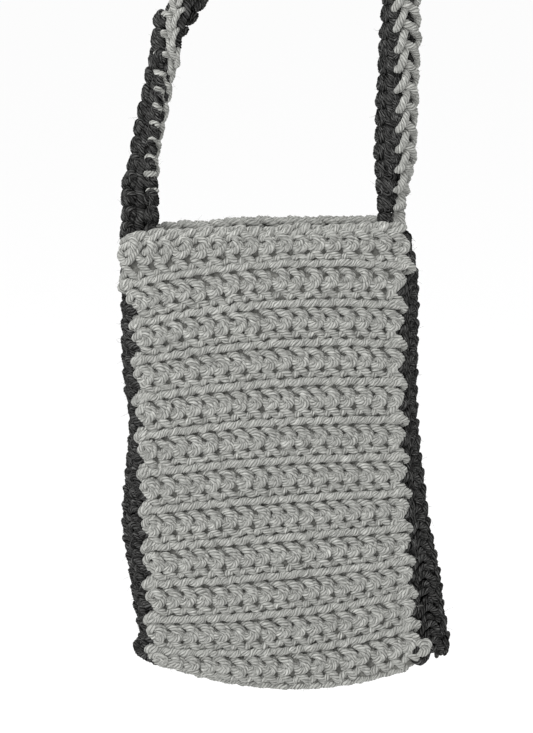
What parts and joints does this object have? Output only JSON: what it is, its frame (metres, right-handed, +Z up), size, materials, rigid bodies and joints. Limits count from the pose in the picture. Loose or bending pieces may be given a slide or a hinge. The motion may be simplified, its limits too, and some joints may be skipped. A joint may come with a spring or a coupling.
{
  "type": "crocheted carry pouch",
  "caption": "Small crocheted pouch, open at the top, with a light body, dark side gussets and a dark strap loop with a light braided edge.",
  "frame": {"origin": "the point where the strap hangs, on the inner face of the top of its loop", "axes": "+Z up along the hanging pouch, +X to the right seen from the front, the front panel faces -Y"},
  "size_m": [0.1412, 0.032, 0.4477],
  "materials": {
    "light_yarn": "matte plied wool-type yarn, light warm grey",
    "dark_yarn": "matte plied wool-type yarn, charcoal"
  },
  "bodies": {
    "strap": {"strap_band": "dark_yarn", "strap_edging": "light_yarn"},
    "pouch": {"front_panel": "light_yarn", "back_panel": "light_yarn", "bottom_panel": "light_yarn", "front_rim": "light_yarn", "back_rim": "light_yarn", "front_left_seam": "light_yarn", "back_left_seam": "light_yarn", "front_right_seam": "light_yarn", "back_right_seam": "light_yarn", "left_bottom_seam": "light_yarn", "right_bottom_seam": "light_yarn", "left_gusset": "dark_yarn", "right_gusset": "dark_yarn", "left_strap_base": "dark_yarn", "right_strap_base": "dark_yarn"}
  },
  "joints": [
    {"name": "pouch_swing", "type": "hinge", "parent": "strap", "child": "pouch", "pos_m": [-0.021, 0, -0.23225], "axis": [1, 0, 0], "range_deg": [-70, 70]}
  ]
}
